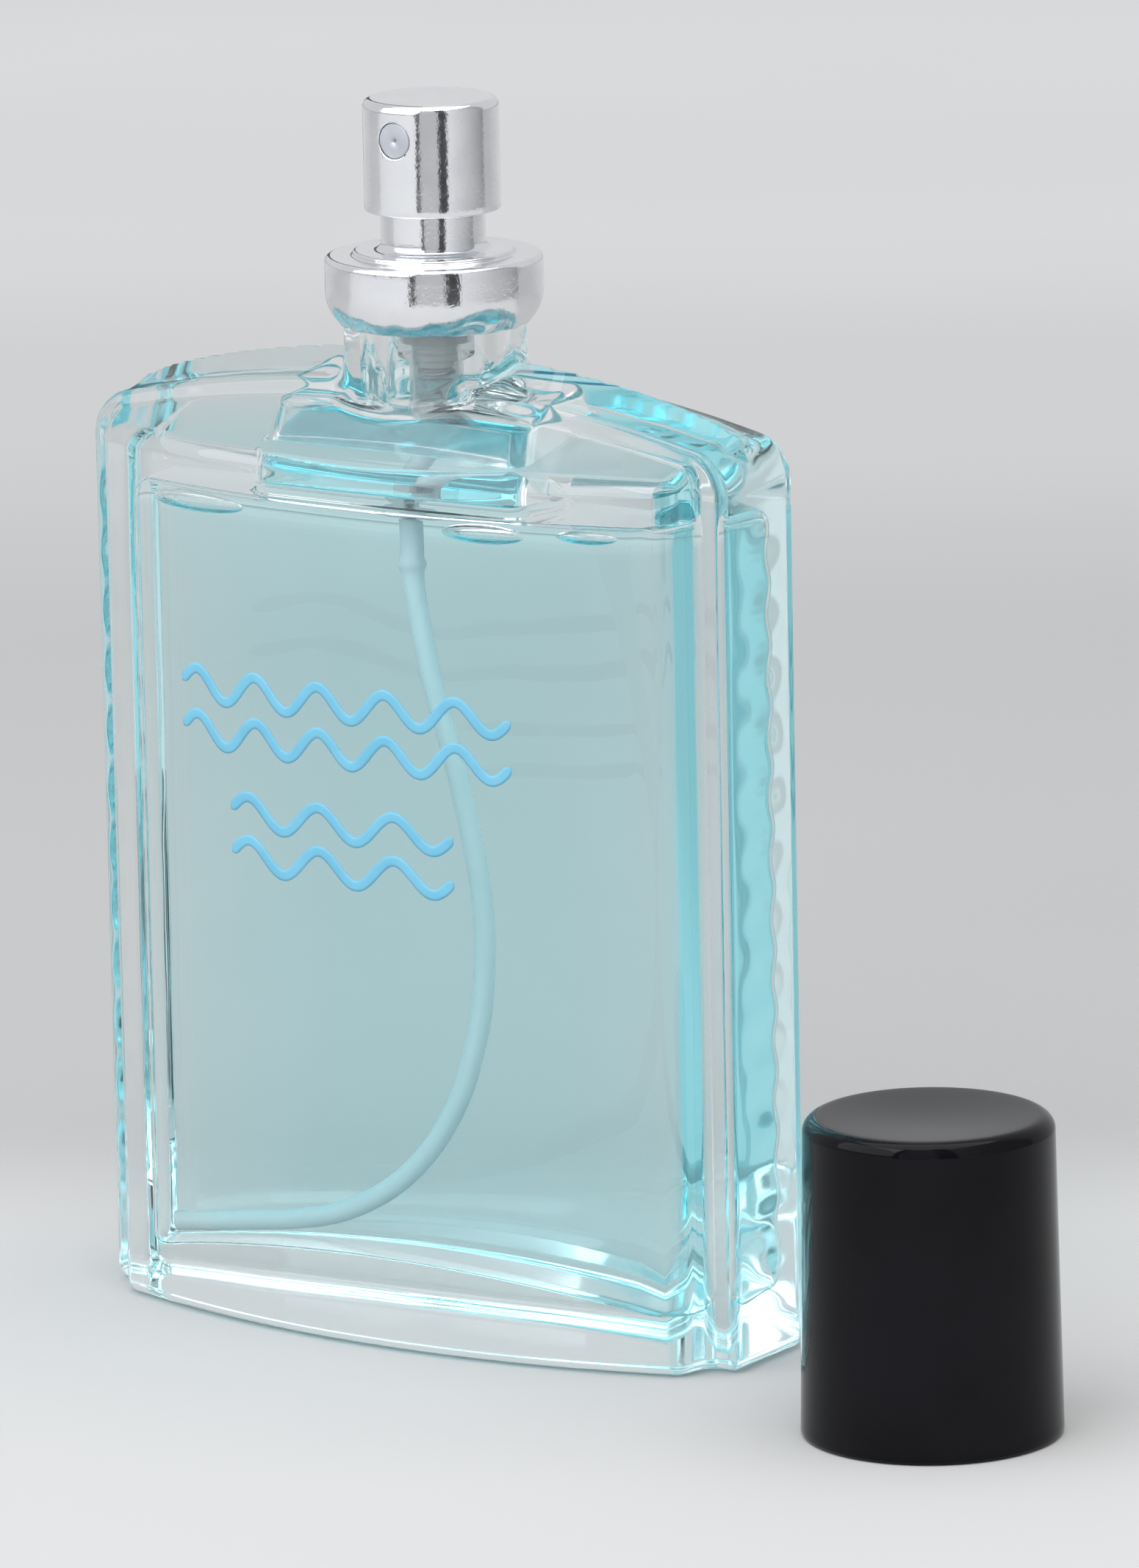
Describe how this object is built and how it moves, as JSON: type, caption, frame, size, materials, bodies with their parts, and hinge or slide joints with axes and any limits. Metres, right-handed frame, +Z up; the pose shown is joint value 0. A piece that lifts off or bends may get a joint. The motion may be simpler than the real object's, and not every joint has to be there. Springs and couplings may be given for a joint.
{
  "type": "perfume spray bottle with loose cap",
  "caption": "Flask-shaped clear glass perfume bottle with pale blue liquid, crimped fine-mist pump with press-down actuator, and a glossy black slip-on cap standing beside it.",
  "frame": {"origin": "centre of the bottle's flat base, on the surface it stands on", "axes": "+Z up along the pump, front face with the print and the spray outlet towards -Y, the loose cap towards +X"},
  "size_m": [0.1154, 0.0425, 0.1235],
  "materials": {
    "clear_glass": "clear, fire-polished, faint aqua at the edges",
    "fragrance": "clear pale blue liquid",
    "print_ink": "screen-printed sky blue",
    "silver_aluminium": "bright anodised aluminium",
    "gasket_rubber": "soft grey seal",
    "frosted_plastic": "translucent natural polypropylene",
    "white_plastic": "moulded natural white",
    "spring_steel": "drawn stainless wire",
    "nozzle_plastic": "silver-grey moulded",
    "black_gloss": "high-gloss black",
    "liner_plastic": "moulded black"
  },
  "bodies": {
    "bottle": {"glass_bottle": "clear_glass", "fragrance_liquid": "fragrance", "front_print": "print_ink", "crimp_ferrule": "silver_aluminium", "neck_gasket": "gasket_rubber", "pump_housing": "frosted_plastic", "stem_guide": "white_plastic", "stem_seal": "gasket_rubber", "return_spring": "spring_steel", "dip_tube": "frosted_plastic"},
    "stem": {"pump_stem": "white_plastic", "pump_piston": "white_plastic"},
    "actuator": {"actuator_shell": "silver_aluminium", "actuator_core": "white_plastic", "nozzle_insert": "nozzle_plastic"},
    "ball": {"inlet_ball": "spring_steel"},
    "cap": {"cap_shell": "black_gloss", "cap_liner": "liner_plastic"}
  },
  "joints": [
    {"name": "pump_stroke", "type": "slide", "parent": "bottle", "child": "stem", "axis": [0, 0, -1], "range_m": [0, 0.0036], "stiffness_N_per_m": 800, "springref_m": -0.006, "deforming": ["return_spring"]},
    {"name": "actuator_turn", "type": "hinge", "parent": "stem", "child": "actuator", "pos_m": [0, 0, 0.12], "axis": [0, 0, 1], "continuous": true},
    {"name": "inlet_ball_lift", "type": "slide", "parent": "bottle", "child": "ball", "axis": [0, 0, 1], "range_m": [0, 0.00055]},
    {"name": "cap_lift", "type": "slide", "parent": "bottle", "child": "cap", "axis": [0, 0, 1], "range_m": [0, 0.13]}
  ]
}
